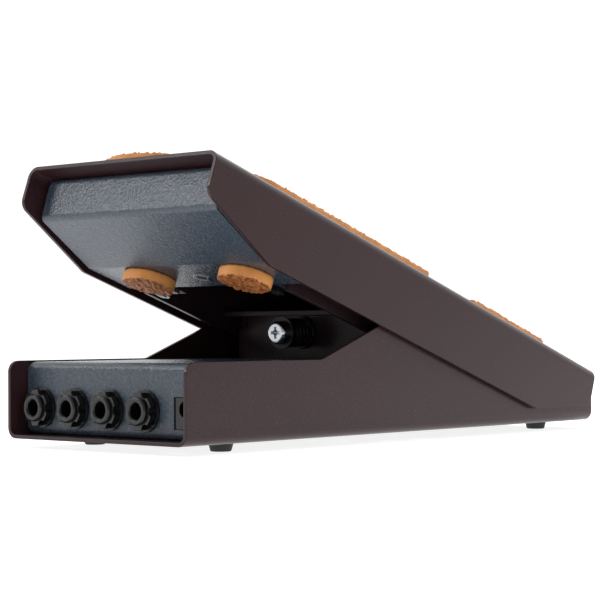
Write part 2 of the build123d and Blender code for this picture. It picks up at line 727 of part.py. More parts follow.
with BuildPart() as treadle_shell:
    with BuildSketch(tread_front):
        with BuildLine():
            side = treadle_outer - sheet / 2
            high = treadle_rise - sheet / 2
            low = treadle_rise - flange_depth - sheet
            FilletPolyline((-side, low), (-side, high), (side, high), (side, low), radius=bend - sheet / 2)
        trace(line_width=sheet)
    extrude(amount=treadle_half, both=True)
    with BuildSketch(tread_side) as treadle_outline:
        with BuildLine():
            Polyline(
                (-treadle_half, treadle_rise),
                (-treadle_half, flange_end_level),
                (-treadle_half + flange_run, treadle_rise - flange_depth),
                (treadle_half - flange_run, treadle_rise - flange_depth),
                (treadle_half, flange_end_level),
                (treadle_half, treadle_rise),
                close=True,
            )
        make_face()
        lower = [v for v in treadle_outline.vertices() if v.Y < treadle_rise - sheet]
        fillet(lower, radius=flange_corner)
    extrude(amount=wide / 2, both=True, mode=Mode.INTERSECT)
    with Locations(*[tread.location * Pos(x, y, treadle_rise) for x, y in rail_screws_at]):
        Cone(m4, m4_head, m4_head - m4, align=(Align.CENTER, Align.CENTER, Align.MAX), mode=Mode.SUBTRACT)
        Cylinder(m4 + hole_clearance, 3 * sheet, mode=Mode.SUBTRACT)
    with Locations(*[tread.location * Pos(x, y, treadle_rise) for x, y in rivets_at]):
        Cylinder(rivet_radius, 3 * sheet, mode=Mode.SUBTRACT)
        Cone(
            rivet_radius, rivet_head, rivet_head - rivet_radius,
            align=(Align.CENTER, Align.CENTER, Align.MAX), mode=Mode.SUBTRACT,
        )
save(treadle_shell, "treadle_shell")

# ---- pans ------------------------------------------------------------------------------------
# A pan is folded from one sheet: lip, front face, slanted plate, level plate and two ears.
pan_level = treadle_rise - pan_plate_depth + sheet / 2
ear_screw_along = treadle_half - pan_end - ear_length / 2
ear_place = carrier_half_width - ear_inset


def folded_pan(toeward, half_width_of_pan):
    """toeward is -1 for the toe pan and 1 for the heel pan."""
    face = treadle_half - pan_setback - sheet / 2
    with BuildPart() as pan:
        with BuildSketch(tread_side):
            with BuildLine():
                FilletPolyline(
                    (toeward * (face - pan_lip), plate_under - sheet / 2),
                    (toeward * face, plate_under - sheet / 2),
                    (toeward * (face - pan_lean), treadle_rise - pan_front_depth + sheet / 2),
                    (toeward * (treadle_half - pan_slope_end), pan_level),
                    (toeward * (treadle_half - pan_end), pan_level),
                    radius=fold - sheet / 2,
                )
            trace(line_width=sheet)
        extrude(amount=wide / 2, both=True)
        with BuildSketch(tread_front) as mask:
            bottom = pan_level - sheet
            with Locations((0, (plate_under + bottom) / 2)):
                Rectangle(2 * half_width_of_pan, plate_under - bottom)
            fillet(mask.vertices().group_by(Axis.Y)[-1], radius=pan_corner)
        extrude(amount=housing_length, both=True, mode=Mode.INTERSECT)
        ear_along = toeward * ear_screw_along
        ears = [tread.location * Pos(side * ear_place, ear_along, pan_level) for side in (-1, 1)]
        with Locations(*ears):
            Box(ear_width, ear_length, sheet)
            Cylinder(m3 + hole_clearance, 3 * sheet, mode=Mode.SUBTRACT)
        rivet_spots = [tread.location * Pos(x, y, plate_under) for x, y in rivets_at if y * toeward > 0]
        with Locations(*rivet_spots):
            Cylinder(rivet_radius, 3 * sheet, mode=Mode.SUBTRACT)
    return pan


toe_pan = folded_pan(-1, treadle_inner - pan_side_gap)
magnet_spot = tread.location * Pos(toe_stop_shift, magnet_along, pan_level)
cup_radius = magnet_radius + magnet_rim
with BuildPart() as toe_pan_bored:
    add(toe_pan.part)
    with Locations(magnet_spot):
        Cylinder(cup_radius - magnet_rim / 2, 3 * sheet, mode=Mode.SUBTRACT)
save(toe_pan_bored, "toe_pan")
heel_pan = folded_pan(1, half_width - sheet - heel_pan_side_gap)
save(heel_pan, "heel_pan")

pan_face = pan_level - sheet / 2
with BuildPart() as magnet_cup:
    with Locations(tread.location * Pos(toe_stop_shift, magnet_along, pan_face)):
        Cylinder(cup_radius - magnet_rim / 2, sheet, align=(Align.CENTER, Align.CENTER, Align.MIN))
        Cylinder(cup_radius, magnet_rim / 2, align=(Align.CENTER, Align.CENTER, Align.MAX))
    with Locations(tread.location * Pos(toe_stop_shift, magnet_along, pan_face - magnet_rim / 2)):
        Cylinder(
            magnet_radius - magnet_rim / 2, magnet_thickness, align=(Align.CENTER, Align.CENTER, Align.MIN),
            mode=Mode.SUBTRACT,
        )
save(magnet_cup, "magnet_cup")

with BuildPart() as position_magnet:
    with Locations(tread.location * Pos(toe_stop_shift, magnet_along, pan_face - magnet_rim / 4)):
        Cylinder(
            magnet_radius - magnet_rim / 2, magnet_thickness - magnet_rim / 4,
            align=(Align.CENTER, Align.CENTER, Align.MIN),
        )
save(position_magnet, "position_magnet")

with BuildPart() as pan_rivets:
    with Locations(*[tread.location * Pos(x, y, treadle_rise) for x, y in rivets_at]):
        Cone(
            rivet_radius, rivet_head, rivet_head - rivet_radius,
            align=(Align.CENTER, Align.CENTER, Align.MAX),
        )
        Cylinder(rivet_radius, 2 * sheet, align=(Align.CENTER, Align.CENTER, Align.MAX))
    with Locations(*[tread.location * Pos(x, y, treadle_rise - 2 * sheet) for x, y in rivets_at]):
        Cylinder(rivet_head, rivet_radius, align=(Align.CENTER, Align.CENTER, Align.MAX))
save(pan_rivets, "pan_rivets")

# ---- hinge rails -----------------------------------------------------------------------------
# A rail is an angle under the treadle's top; a tab at each end lies on a pan's ear.
tab_low = pan_level + sheet / 2
tab_x = ear_place - ear_width / 2
for side, name in ((-1, "hinge_rail_left"), (1, "hinge_rail_right")):
    with BuildPart() as rail:
        with BuildSketch(tread_front):
            with BuildLine():
                web = side * (rail_outer - rail_sheet / 2)
                top = plate_under - rail_sheet / 2
                low = treadle_rise - rail_depth
                FilletPolyline(
                    (side * (rail_x - rail_flange), top), (web, top), (web, low), radius=fold - rail_sheet / 2
                )
            trace(line_width=rail_sheet)
        extrude(amount=rail_half_length, both=True)
        tab_end = treadle_half - pan_end
        tabs = [tread.location * Pos(side * rail_outer, end * tab_end, tab_low) for end in (-1, 1)]
        reach_in = rail_outer - tab_x
        inwards = Align.MIN if side < 0 else Align.MAX
        with Locations(tabs[0]):
            Box(reach_in, rail_tab_length, rail_sheet, align=(inwards, Align.MIN, Align.MIN))
        with Locations(tabs[1]):
            Box(reach_in, rail_tab_length, rail_sheet, align=(inwards, Align.MAX, Align.MIN))
        ears = [tread.location * Pos(side * ear_place, end * ear_screw_along, tab_low) for end in (-1, 1)]
        with Locations(*ears):
            Cylinder(m3 + hole_clearance, 3 * rail_sheet, mode=Mode.SUBTRACT)
        spots = [tread.location * Pos(x, y, plate_under) for x, y in rail_screws_at if x * side > 0]
        with Locations(*spots):
            Cylinder(m4 + hole_clearance, 3 * rail_sheet, mode=Mode.SUBTRACT)
        with BuildSketch(tread_side) as axle_hole:
            Circle(axle_radius + fit_clearance)
            with Locations((0, axle_flat + fit_clearance)):
                Rectangle(2 * axle_radius, axle_radius, align=(Align.CENTER, Align.MIN), mode=Mode.SUBTRACT)
        extrude(amount=wide / 2, both=True, mode=Mode.SUBTRACT)
    save(rail, name)

rail_screw_length = sheet + rail_sheet + m4_nut_height + screw_tail
with BuildPart() as rail_screws:
    with Locations(*[tread.location * Pos(x, y, treadle_rise) * Rot(180, 0, 0) for x, y in rail_screws_at]):
        countersunk(m4_head, m4, rail_screw_length)
save(rail_screws, "rail_screws")
rail_under = plate_under - rail_sheet
nut_places = [tread.location * Pos(x, y, rail_under) * Rot(180, 0, 0) for x, y in rail_screws_at]
hex_nuts("rail_nuts", nut_places, m4_nut, m4, m4_nut_height)

ears_at = [(side * ear_place, end * ear_screw_along) for side in (-1, 1) for end in (-1, 1)]
with BuildPart() as pan_screws:
    with Locations(*[tread.location * Pos(x, y, tab_low + rail_sheet) for x, y in ears_at]):
        Cylinder(m3_head, pan_screw_head, align=(Align.CENTER, Align.CENTER, Align.MIN))
        Cylinder(
            m3, rail_sheet + sheet + m3_nut_height + screw_tail, align=(Align.CENTER, Align.CENTER, Align.MAX)
        )
save(pan_screws, "pan_screws")
nut_places = [tread.location * Pos(x, y, pan_face) * Rot(180, 0, 0) for x, y in ears_at]
hex_nuts("pan_nuts", nut_places, m3_nut, m3, m3_nut_height)

# ---- axle ------------------------------------------------------------------------------------
axle_half = rail_outer + axle_clip_thickness + axle_end
with BuildPart() as axle:
    with BuildSketch(tread_side):
        Circle(axle_radius)
    extrude(amount=axle_half, both=True)
    for side in (-1, 1):
        start = tread_side.offset(side * (rail_x - clearance / 2))
        with BuildSketch(start):
            with Locations((0, axle_flat)):
                Rectangle(3 * axle_radius, axle_radius, align=(Align.CENTER, Align.MIN))
        extrude(amount=side * axle_half, mode=Mode.SUBTRACT)
        with BuildSketch(tread_side.offset(side * rail_outer)):
            Circle(2 * axle_radius)
            Circle(axle_radius - axle_groove_depth, mode=Mode.SUBTRACT)
        extrude(amount=side * axle_clip_thickness, mode=Mode.SUBTRACT)
save(axle, "axle")

with BuildPart() as axle_clips:
    for side in (-1, 1):
        with BuildSketch(tread_side.offset(side * rail_outer)):
            Circle(axle_clip_radius)
            Circle(axle_radius - axle_groove_depth, mode=Mode.SUBTRACT)
            with Locations((0, -axle_clip_radius)):
                Rectangle(axle_radius, 2 * axle_clip_radius, mode=Mode.SUBTRACT)
        extrude(amount=side * axle_clip_thickness)
save(axle_clips, "axle_clips")

# ---- rubber stops ----------------------------------------------------------------------------
with BuildPart() as toe_stops:
    with BuildSketch(tread.offset(pan_face)):
        stops_along = -treadle_half + toe_stop_setback
        with Locations(*[(toe_stop_shift + side * stop_place, stops_along) for side in (-1, 1)]):
            Circle(stop_radius)
    extrude(amount=-toe_stop_thickness)
save(toe_stops, "toe_stops")

# The heel stops stand square to the slanted plate of the heel pan.
slant_run = pan_slope_end - pan_setback - sheet / 2 - pan_lean
slant_drop = pan_plate_depth - pan_front_depth
slant = Vector(0, slant_run, slant_drop).normalized()
slant_local = Plane(
    origin=(0, treadle_half - pan_slope_end, pan_level),
    x_dir=(1, 0, 0),
    z_dir=(0, -slant.Z, slant.Y),
)
heel_plane = Plane(tread.location * slant_local.location)
stop_along = (pan_slope_end - heel_stop_setback) * hypot(slant_run, slant_drop) / slant_run
stop_root = heel_plane.from_local_coords(Vector(0, stop_along, -sheet / 2))
slope_left = heel_plane.z_dir.Z
lean = sqrt(1 - slope_left**2)
heel_stop_thickness = (stop_root.Z - floor_top - heel_stop_gap - stop_radius * lean) / slope_left
with BuildPart() as heel_stops:
    with BuildSketch(heel_plane.offset(-sheet / 2)):
        with Locations(*[(side * stop_place, stop_along) for side in (-1, 1)]):
            Circle(stop_radius)
    extrude(amount=-heel_stop_thickness)
save(heel_stops, "heel_stops")

# ---- sole and heel pads ----------------------------------------------------------------------
with BuildPart() as sole_pad:
    with BuildSketch(tread.offset(treadle_rise)):
        tip = -treadle_half + pad_tip_gap
        end = -treadle_half + sole_pad_end
        with Locations((0, tip + pad_half_width)):
            Circle(pad_half_width)
            Rectangle(2 * pad_half_width, end - tip - pad_half_width, align=(Align.CENTER, Align.MIN))
    extrude(amount=sole_pad_thickness)
save(sole_pad, "sole_pad")

with BuildPart() as heel_pad:
    with BuildSketch(tread.offset(treadle_rise)):
        with Locations((0, treadle_half - heel_pad_tip_gap - heel_pad_round)):
            Ellipse(pad_half_width, heel_pad_round)
            Rectangle(2 * pad_half_width, heel_pad_straight, align=(Align.CENTER, Align.MAX))
    extrude(amount=heel_pad_thickness)
save(heel_pad, "heel_pad")

# ---- travel ----------------------------------------------------------------------------------
# The treadle goes down at the toe until the toe stops meet the connector cover.
stop_low = pan_face - toe_stop_thickness
stop_toe = treadle_half - toe_stop_setback + stop_radius
over_cover = pivot_height - cover_height - clearance
toe_down = asin(over_cover / hypot(stop_toe, stop_low)) - atan(-stop_low / stop_toe)
print("treadle travel in degrees:", round(degrees(rest_tilt + toe_down), 2))
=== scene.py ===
"""Looks of a rocker volume pedal: finishes for its folded steel, moulded and plated pieces,
rough crepe rubber for its pads and stops, and a plain pale studio."""

import math

import bmesh
import bpy
from bpy.props import FloatProperty, FloatVectorProperty, PointerProperty
from mathutils import Matrix, Vector, noise


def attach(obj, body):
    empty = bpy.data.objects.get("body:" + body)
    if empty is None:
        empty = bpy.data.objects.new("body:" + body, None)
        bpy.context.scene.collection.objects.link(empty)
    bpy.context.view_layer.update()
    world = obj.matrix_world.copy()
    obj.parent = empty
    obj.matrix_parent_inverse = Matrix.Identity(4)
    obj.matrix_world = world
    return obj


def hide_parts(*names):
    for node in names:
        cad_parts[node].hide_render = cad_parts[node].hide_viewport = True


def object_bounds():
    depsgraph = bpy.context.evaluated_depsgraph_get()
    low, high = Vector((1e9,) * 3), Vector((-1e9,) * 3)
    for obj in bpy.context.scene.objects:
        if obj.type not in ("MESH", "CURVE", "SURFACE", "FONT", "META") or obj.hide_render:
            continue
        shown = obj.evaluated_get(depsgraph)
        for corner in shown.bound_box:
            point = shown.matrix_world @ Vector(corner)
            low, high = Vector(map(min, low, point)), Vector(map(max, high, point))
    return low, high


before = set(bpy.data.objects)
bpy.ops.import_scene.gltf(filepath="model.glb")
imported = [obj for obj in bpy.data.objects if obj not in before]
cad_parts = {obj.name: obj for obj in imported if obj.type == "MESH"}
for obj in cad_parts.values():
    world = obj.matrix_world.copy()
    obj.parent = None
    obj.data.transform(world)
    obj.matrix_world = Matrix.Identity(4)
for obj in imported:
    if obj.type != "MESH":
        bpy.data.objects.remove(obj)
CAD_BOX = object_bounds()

bl_info = {
    "name": "Volume Pedal Finishes",
    "version": (1, 0, 0),
    "blender": (4, 5, 0),
    "location": "3D View > Sidebar > Pedal",
    "description": "Finishes, rubber pads and studio for a rocker volume pedal",
    "category": "Object",
}

MM = 0.001
LOW, HIGH = (Vector(corner) for corner in CAD_BOX)
MIDDLE = (LOW + HIGH) / 2
WAVE_PERIOD = 6.3           # scale units of a wave texture in one of its bands

# Crumple of the crepe, as shares: of a sheet's thickness from the glued face, and of the depth.
GLUED_SHARE = 0.35          # stays as it was cut
RISING_SHARE = 0.5          # over which the crumple comes in
FACE_WEAR, FACE_LUMPS, FACE_CREASES = 0.12, 0.45, 0.6
SIDE_WEAR, SIDE_WOBBLE, SIDE_LUMPS = 0.1, 0.2, 0.4
CREASE_SHARPNESS = 2.4
# Contrast of the painted shade laid at the bottom of the creases.
CREASE_SHADE_CONTRAST = 3.0
WOBBLE_LENGTH = 7.0 * MM


# ---- settings a user would change ------------------------------------------------------------
def linear(hex_colour):
    """Linear RGBA of an sRGB hex colour."""
    parts = [int(hex_colour[n:n + 2], 16) / 255 for n in (1, 3, 5)]
    return (*((c / 12.92 if c <= 0.04045 else ((c + 0.055) / 1.055) ** 2.4) for c in parts), 1.0)


def colour_property(name, description, hex_colour):
    """Colour whose default is an sRGB hex colour."""
    return FloatVectorProperty(
        name=name, description=description, subtype="COLOR", size=4, min=0.0, max=1.0,
        default=linear(hex_colour),
    )


def length_property(name, description, millimetres, least=0.0):
    """Length in metres whose default and least value are given in millimetres."""
    return FloatProperty(
        name=name, description=description, subtype="DISTANCE", unit="LENGTH",
        default=millimetres * MM, min=least * MM,
    )


def angle_property(name, description, degrees):
    """Angle in radians whose default is given in degrees."""
    return FloatProperty(
        name=name, description=description, subtype="ANGLE", unit="ROTATION", default=math.radians(degrees)
    )


class PedalColours(bpy.types.PropertyGroup):
    brown: colour_property("Brown coat", "Powder coat of the housing and the treadle", "#331e21")
    bracket: colour_property("Bracket coat", "Thin powder coat of the carrier and the rails", "#2a1d20")
    grey: colour_property("Grey coat", "Structure paint of the cover, the pans and the heel plate", "#3a4450")
    crepe: colour_property("Crepe rubber", "Cut sides of the pads and the stops", "#d9914b")
    crepe_face: colour_property("Crepe face", "Crumpled face of the pads and the stops", "#bd7843")
    # Painted shade: the crease colour is the shade painted at the bottom of the creases of the crumpled face.
    crepe_crease_shade: colour_property("Crepe crease", "Bottom of the creases in that face", "#6e3516")
    black: colour_property("Black nylon", "Moulded nylon of the jacks and the socket", "#0f0f12")
    zinc: colour_property("Zinc plating", "Plated steel of the screws and nuts", "#d3d8dd")


class PedalTexture(bpy.types.PropertyGroup):
    coat_grain: length_property("Coat grain", "Grain of the powder coat", 0.55, 0.1)
    hammer_grain: length_property("Hammer grain", "Grain of the structure paint", 1.1, 0.1)
    crumb: length_property("Crumb", "Lumps of the crepe", 2.2, 0.2)
    voxel: length_property("Crepe mesh", "Mesh size of the rubber", 0.75, 0.3)
    crumple_depth: length_property("Crepe depth", "Depth of the lumps", 1.2)


class PedalCamera(bpy.types.PropertyGroup):
    azimuth: angle_property("Azimuth", "Round the pedal", 42.19)
    elevation: angle_property("Elevation", "Above the horizon", -0.95)
    roll: angle_property("Roll", "About the view line", -0.29)
    distance: length_property("Distance", "To the aim point", 811.7)
    lens: FloatProperty(name="Lens", description="Focal length", unit="CAMERA", default=112.2)
    aim: FloatVectorProperty(
        name="Aim", description="Aim point, from the middle of the pedal", subtype="TRANSLATION",
        unit="LENGTH", default=(-5.7 * MM, -8.0 * MM, 1.1 * MM),
    )


# ---- materials -------------------------------------------------------------------------------
def add_node(tree, kind, values=(), links=(), **settings):
    """Adds a shader node with its settings, its sockets' values and its incoming links."""
    made = tree.nodes.new("ShaderNode" + kind)
    for name, value in settings.items():
        setattr(made, name, value)
    for socket, value in dict(values).items():
        made.inputs[socket].default_value = value
    for socket, source in dict(links).items():
        tree.links.new(source, made.inputs[socket])
    return made


def per_metre(size):
    """Texture scale that gives one feature every size metres."""
    return 1.0 / size


def new_material(name, **surface):
    """A material with its Principled shader and the object's own coordinates, in metres."""
    material = bpy.data.materials.new(name)
    material.use_nodes = True
    tree = material.node_tree
    shader = tree.nodes["Principled BSDF"]
    for socket, value in surface.items():
        shader.inputs[socket.replace("_", " ")].default_value = value
    place = add_node(tree, "TexCoord").outputs["Object"]
    return material, tree, shader, place


def ramp(tree, source, stops):
    """Colour ramp through (position, RGBA) stops."""
    made = add_node(tree, "ValToRGB", links={"Fac": source})
    points = made.color_ramp.elements
    while len(points) < len(stops):
        points.new(0.5)
    for point, (position, colour) in zip(points, stops):
        point.position = position
        point.color = colour
    return made.outputs["Color"]


def shade(colour, factor):
    """A colour made darker or lighter, no lighter than white."""
    return (*(min(1.0, c * factor) for c in colour[:3]), 1.0)


def powder_coat(settings, name, colour, skin):
    """Polyester powder coat, baked on steel: fine even grain under a thin clear skin that stays
    dull face on and shines along the folds and the cut edges."""
    base = tuple(colour)
    material, tree, shader, place = new_material(name, Specular_IOR_Level=0.1)
    grain = add_node(
        tree, "TexNoise", {"Scale": per_metre(settings.coat_grain), "Detail": 3.0}, {"Vector": place}
    )
    clouds = add_node(tree, "TexNoise", {"Scale": per_metre(40.0 * MM), "Detail": 2.0}, {"Vector": place})
    speck = ramp(tree, grain.outputs["Fac"], [
        (0.30, shade(base, 0.75)), (0.52, base), (0.64, shade(base, 1.15)), (0.74, shade(base, 3.6)),
    ])
    tint = ramp(tree, clouds.outputs["Fac"], [(0.3, (0.88, 0.88, 0.88, 1)), (0.7, (1, 1, 1, 1))])
    mixed = add_node(
        tree, "Mix", {0: 1.0}, {6: speck, 7: tint}, data_type="RGBA", blend_type="MULTIPLY"
    )
    tree.links.new(mixed.outputs[2], shader.inputs["Base Color"])
    gloss = add_node(
        tree, "MapRange", {"To Min": 0.40, "To Max": 0.60}, {"Value": grain.outputs["Fac"]}
    )
    tree.links.new(gloss.outputs[0], shader.inputs["Roughness"])
    rounded = add_node(tree, "Bevel", {"Radius": 0.5 * MM}, samples=6)
    bump = add_node(
        tree, "Bump", {"Strength": 0.45, "Distance": 0.05 * MM},
        {"Height": grain.outputs["Fac"], "Normal": rounded.outputs["Normal"]},
    )
    tree.links.new(bump.outputs["Normal"], shader.inputs["Normal"])
    shader.inputs["Coat Weight"].default_value = skin
    shader.inputs["Coat Roughness"].default_value = 0.22
    shader.inputs["Coat IOR"].default_value = 1.35
    tree.links.new(rounded.outputs["Normal"], shader.inputs["Coat Normal"])
    return material


def hammered_paint(settings, colours):
    """Blue-grey structure paint sprayed on steel: coarse orange-peel grain with small pits, darkened with
    painted shade.
    """
    base = tuple(colours.grey)
    material, tree, shader, place = new_material("steel_structure_painted", Roughness=0.27)
    peel = add_node(
        tree, "TexNoise", {"Scale": per_metre(settings.hammer_grain), "Detail": 2.0, "Roughness": 0.6},
        {"Vector": place},
    )
    pits = add_node(tree, "TexVoronoi", {"Scale": per_metre(3.2 * MM)}, {"Vector": place})
    # The pit mask drives both the pits' bump and the painted shade in them.
    pit_relief_and_shade = ramp(tree, pits.outputs["Distance"], [(0.05, (0, 0, 0, 1)), (0.13, (1, 1, 1, 1))])
    tone = ramp(tree, peel.outputs["Fac"], [
        (0.32, shade(base, 0.8)), (0.55, base), (0.68, shade(base, 1.25)), (0.76, shade(base, 2.2)),
    ])
    # Painted shade: the base colour is darkened inside the pits.
    mixed = add_node(
        tree, "Mix", {0: 0.55}, {6: tone, 7: pit_relief_and_shade}, data_type="RGBA", blend_type="MULTIPLY"
    )
    tree.links.new(mixed.outputs[2], shader.inputs["Base Color"])
    rounded = add_node(tree, "Bevel", {"Radius": 0.4 * MM}, samples=4)
    pitted = add_node(
        tree, "Bump", {"Strength": 0.5, "Distance": 0.12 * MM},
        {"Height": pit_relief_and_shade, "Normal": rounded.outputs["Normal"]},
    )
    bump = add_node(
        tree, "Bump", {"Strength": 1.0, "Distance": 0.3 * MM},
        {"Height": peel.outputs["Fac"], "Normal": pitted.outputs["Normal"]},
    )
    tree.links.new(bump.outputs["Normal"], shader.inputs["Normal"])
    return material


def crepe_rubber(settings, colours):
    """Natural crepe rubber, rolled in sheets and cut: waxy and slightly translucent on the cut
    sides, with painted shade in the folds of its crumpled face."""
    base = tuple(colours.crepe)
    material, tree, shader, place = new_material("rubber_natural_crepe", Roughness=0.55)
    shader.inputs["Subsurface Weight"].default_value = 0.25
    shader.inputs["Subsurface Radius"].default_value = (1.0, 0.45, 0.2)
    shader.inputs["Subsurface Scale"].default_value = 1.6 * MM
    shader.inputs["IOR"].default_value = 1.52
    folds = add_node(
        tree, "TexVoronoi", {"Scale": per_metre(settings.crumb), "Randomness": 1.0}, {"Vector": place},
        feature="SMOOTH_F1",
    )
    fine = add_node(tree, "TexNoise", {"Scale": per_metre(0.7 * MM), "Detail": 4.0}, {"Vector": place})
    clouds = add_node(tree, "TexNoise", {"Scale": per_metre(9.0 * MM), "Detail": 3.0}, {"Vector": place})
    crease_shade = add_node(tree, "Attribute", attribute_name="crease_shade")
    face = add_node(tree, "Attribute", attribute_name="free_face")
    tone = ramp(tree, clouds.outputs["Fac"], [
        (0.3, shade(base, 0.86)), (0.5, base), (0.75, shade(base, 1.12)),
    ])
    # The crumpled face is given a darker brown than the cut sides.
    face_toned = add_node(
        tree, "Mix", {7: tuple(colours.crepe_face)}, {0: face.outputs["Fac"], 6: tone}, data_type="RGBA"
    )
    # Painted shade: the crease colour is mixed in at the bottom of the creases, by the per-point crease
    # attribute.
    crease_shaded = add_node(
        tree, "Mix", {7: tuple(colours.crepe_crease_shade)},
        {0: crease_shade.outputs["Fac"], 6: face_toned.outputs[2]}, data_type="RGBA",
    )
    tree.links.new(crease_shaded.outputs[2], shader.inputs["Base Color"])
    crumpled = add_node(
        tree, "Bump", {"Strength": 0.35, "Distance": 0.3 * MM}, {"Height": folds.outputs["Distance"]}
    )
    bump = add_node(
        tree, "Bump", {"Strength": 0.5, "Distance": 0.1 * MM},
        {"Height": fine.outputs["Fac"], "Normal": crumpled.outputs["Normal"]},
    )
    tree.links.new(bump.outputs["Normal"], shader.inputs["Normal"])
    return material


def grained(name, colour, grain_mm, depth_mm, contrast=0.15, bevel_mm=0.2, **surface):
    """A plain finish with a fine grain in its tone and its surface and softly broken edges."""
    base = tuple(colour)
    material, tree, shader, place = new_material(name, **surface)
    grain = add_node(tree, "TexNoise", {"Scale": per_metre(grain_mm * MM), "Detail": 3.0}, {"Vector": place})
    tone = ramp(tree, grain.outputs["Fac"], [
        (0.3, shade(base, 1 - contrast)), (0.7, shade(base, 1 + contrast)),
    ])
    tree.links.new(tone, shader.inputs["Base Color"])
    rounded = add_node(tree, "Bevel", {"Radius": bevel_mm * MM}, samples=4)
    bump = add_node(
        tree, "Bump", {"Strength": 0.4, "Distance": depth_mm * MM},
        {"Height": grain.outputs["Fac"], "Normal": rounded.outputs["Normal"]},
    )
    tree.links.new(bump.outputs["Normal"], shader.inputs["Normal"])
    return material


def turned_metal(name, colour, ring_mm, axis, roughness):
    """Bare turned or ground metal: fine tool lines run round its axis."""
    base = tuple(colour)
    material, tree, shader, place = new_material(name, Metallic=1.0, Roughness=roughness)
    lines = add_node(
        tree, "TexWave", {"Scale": per_metre(ring_mm * MM) / WAVE_PERIOD, "Distortion": 1.5, "Detail": 2.0},
        {"Vector": place}, wave_type="BANDS", bands_direction=axis,
    )
    tone = ramp(tree, lines.outputs["Fac"], [(0.0, shade(base, 0.9)), (1.0, base)])
    tree.links.new(tone, shader.inputs["Base Color"])
    bump = add_node(tree, "Bump", {"Strength": 0.15, "Distance": 0.02 * MM}, {"Height": lines.outputs["Fac"]})
    tree.links.new(bump.outputs["Normal"], shader.inputs["Normal"])
    return material


def coat_nodes(material, *names):
    """Gives CAD nodes a material, in every slot they have."""
    for name in names:
        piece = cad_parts[name]
        if not piece.material_slots:
            piece.data.materials.append(material)
        for slot in piece.material_slots:
            slot.material = material


# ---- rubber ----------------------------------------------------------------------------------
def flat_face_normal(mesh):
    """Direction square to the mesh's largest flat face."""
    areas = {}
    for face in mesh.polygons:
        key = tuple(round(c, 3) for c in face.normal)
        areas[key] = areas.get(key, 0.0) + face.area
    best = max(areas, key=areas.get)
    return Vector(best).normalized()


def crumple(name, node, body, free_sign, settings, material, seed):
    """Rubber piece cut from a crepe sheet, made from its CAD solid. The glued face and the solid's
    size stay; the free face and the cut sides are crumpled inwards."""
    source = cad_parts[node].data
    normal = flat_face_normal(source)
    if normal.z * free_sign < 0:
        normal.negate()
    levels = [v.co.dot(normal) for v in source.vertices]
    root, thickness = min(levels), max(levels) - min(levels)
    piece = bpy.data.objects.new(name, source.copy())
    bpy.context.scene.collection.objects.link(piece)
    remesh = piece.modifiers.new("even_mesh", "REMESH")
    remesh.mode = "VOXEL"
    remesh.voxel_size = settings.voxel
    graph = bpy.context.evaluated_depsgraph_get()
    mesh = bpy.data.meshes.new_from_object(piece.evaluated_get(graph))
    piece.modifiers.clear()
    piece.data = mesh
    depth = settings.crumple_depth
    crumb = per_metre(settings.crumb)
    shift = Vector((seed * 1.7, seed * 0.9, seed * 2.3))
    crease_shades = mesh.attributes.new("crease_shade", "FLOAT", "POINT")
    faces = mesh.attributes.new("free_face", "FLOAT", "POINT")
    moved = []
    for vertex in mesh.vertices:
        place = vertex.co
        height = (place.dot(normal) - root) / thickness
        free = min(1.0, max(0.0, (height - GLUED_SHARE) / RISING_SHARE))
        facing = max(0.0, vertex.normal.dot(normal))
        lumps = noise.fractal(place * crumb + shift, 0.9, 2.1, 3)
        ridges = abs(noise.noise(place * crumb * 1.3 + shift * 2))
        wobble = noise.noise(place * per_metre(WOBBLE_LENGTH) + shift)
        creases = 1 - CREASE_SHARPNESS * ridges
        down = facing * free * depth * (FACE_WEAR + FACE_LUMPS * lumps + FACE_CREASES * creases)
        side = vertex.normal - normal * vertex.normal.dot(normal)
        inward = depth * (SIDE_WEAR + SIDE_WOBBLE * wobble + SIDE_LUMPS * free * max(0.0, lumps))
        moved.append(place - normal * max(0.0, down) - side * max(0.0, inward) * (0.3 + 0.7 * free))
        # Painted shade: how much crease colour each point gets, strongest at the bottom of the creases.
        crease_shades.data[vertex.index].value = min(1.0, max(0.0, facing * free * (1.0 - CREASE_SHADE_CONTRAST * ridges)))
        faces.data[vertex.index].value = facing * free
    for vertex, place in zip(mesh.vertices, moved):
        vertex.co = place
    mesh.shade_smooth()
    mesh.materials.clear()
    mesh.materials.append(material)
    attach(piece, body)
    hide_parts(node)
    return piece


# ---- operators -------------------------------------------------------------------------------
class PEDAL_OT_folded_steel(bpy.types.Operator):
    """Powder-coats the housing, the treadle and the brackets between them"""

    bl_idname = "pedal.folded_steel"
    bl_label = "Folded Steel"

    def execute(self, context):
        scene = context.scene
        coat = powder_coat(scene.pedal_texture, "steel_powder_coated", scene.pedal_colours.brown, 0.7)
        coat_nodes(coat, "housing_shell", "treadle_shell")
        # The brackets hidden between the shells have a thinner, duller coat.
        thin = powder_coat(scene.pedal_texture, "steel_powder_coated_thin", scene.pedal_colours.bracket, 0.3)
        coat_nodes(thin, "axle_carrier", "hinge_rail_left", "hinge_rail_right")
        return {"FINISHED"}


class PEDAL_OT_inner_panels(bpy.types.Operator):
    """Paints the connector cover, both pans and the heel plate"""

    bl_idname = "pedal.inner_panels"
    bl_label = "Inner Panels"

    def execute(self, context):
        scene = context.scene
        paint = hammered_paint(scene.pedal_texture, scene.pedal_colours)
        coat_nodes(paint, "connector_cover", "toe_pan", "heel_pan", "heel_plate")
        return {"FINISHED"}


